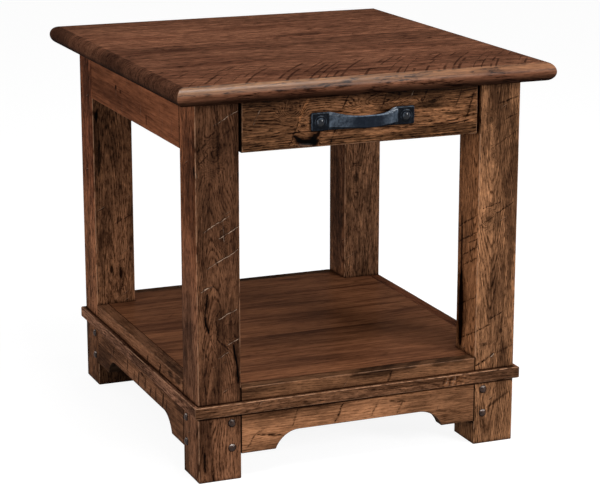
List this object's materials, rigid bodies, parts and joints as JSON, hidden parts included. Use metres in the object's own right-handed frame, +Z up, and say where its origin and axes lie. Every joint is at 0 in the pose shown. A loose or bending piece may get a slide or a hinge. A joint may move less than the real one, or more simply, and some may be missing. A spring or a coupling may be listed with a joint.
{
  "type": "end table",
  "caption": "Rustic end table with square legs, one drawer with a strap pull, a low shelf in a banded frame and arched lower rails.",
  "frame": {"origin": "on the floor, under the middle of the top", "axes": "+Z up, -Y towards the drawer front, +X to the right of someone facing the drawer"},
  "size_m": [0.56, 0.61, 0.563],
  "materials": {
    "hickory_top": "rough-sawn hickory, red-brown stain, satin lacquer",
    "hickory_frame": "rough-sawn hickory, brown stain with dark glaze, satin lacquer",
    "hickory_shelf": "hickory, red-brown stain, satin lacquer",
    "hickory_drawer": "rough-sawn hickory with knots, golden-brown stain, satin lacquer",
    "peg_wood": "turned wood, dark stain, gloss lacquer",
    "drawer_box_wood": "maple, clear lacquer",
    "inner_wood": "plain sawn hickory, brown stain",
    "forged_iron": "hammered, blued black, waxed",
    "zinc_steel": "bright zinc plate"
  },
  "bodies": {
    "table_frame": {"apron_back": "hickory_frame", "apron_left": "hickory_frame", "apron_right": "hickory_frame", "band_back": "hickory_frame", "band_front": "hickory_frame", "band_left": "hickory_frame", "band_right": "hickory_frame", "leg_back_left": "hickory_frame", "leg_back_right": "hickory_frame", "leg_front_left": "hickory_frame", "leg_front_right": "hickory_frame", "lower_rail_back": "hickory_frame", "lower_rail_front": "hickory_frame", "lower_rail_left": "hickory_frame", "lower_rail_right": "hickory_frame", "rail_pegs": "peg_wood", "shelf_board_1": "hickory_shelf", "shelf_board_2": "hickory_shelf", "shelf_board_3": "hickory_shelf", "shelf_board_4": "hickory_shelf", "shelf_board_5": "hickory_shelf", "shelf_cleat_back": "inner_wood", "shelf_cleat_front": "inner_wood", "shelf_cleat_left": "inner_wood", "shelf_cleat_right": "inner_wood", "slide_block_left": "inner_wood", "slide_block_right": "inner_wood", "slide_fixed_left": "zinc_steel", "slide_fixed_right": "zinc_steel", "slide_fixed_screws": "zinc_steel", "top_board_1": "hickory_top", "top_board_2": "hickory_top", "top_board_3": "hickory_top", "top_board_4": "hickory_top", "top_board_5": "hickory_top", "top_buttons": "inner_wood", "top_rail_front": "inner_wood", "top_screws": "zinc_steel"},
    "drawer": {"drawer_bottom": "drawer_box_wood", "drawer_box_back": "drawer_box_wood", "drawer_box_front": "drawer_box_wood", "drawer_front": "hickory_drawer", "drawer_front_screws": "zinc_steel", "drawer_pull": "forged_iron", "drawer_pull_screws": "forged_iron", "drawer_side_left": "drawer_box_wood", "drawer_side_right": "drawer_box_wood", "slide_drawer_left": "zinc_steel", "slide_drawer_right": "zinc_steel", "slide_drawer_screws": "zinc_steel"},
    "slide_middle_left": {"slide_middle_left": "zinc_steel"},
    "slide_middle_right": {"slide_middle_right": "zinc_steel"}
  },
  "joints": [
    {"name": "drawer_travel", "type": "slide", "parent": "table_frame", "child": "drawer", "axis": [0, -1, 0], "range_m": [0, 0.43]},
    {"name": "slide_left_travel", "type": "slide", "parent": "table_frame", "child": "slide_middle_left", "axis": [0, -1, 0], "range_m": [0, 0.215]},
    {"name": "slide_right_travel", "type": "slide", "parent": "table_frame", "child": "slide_middle_right", "axis": [0, -1, 0], "range_m": [0, 0.215]}
  ],
  "couplings": [
    {"joint": "slide_left_travel", "follows": "drawer_travel", "ratio": 0.5},
    {"joint": "slide_right_travel", "follows": "drawer_travel", "ratio": 0.5}
  ]
}
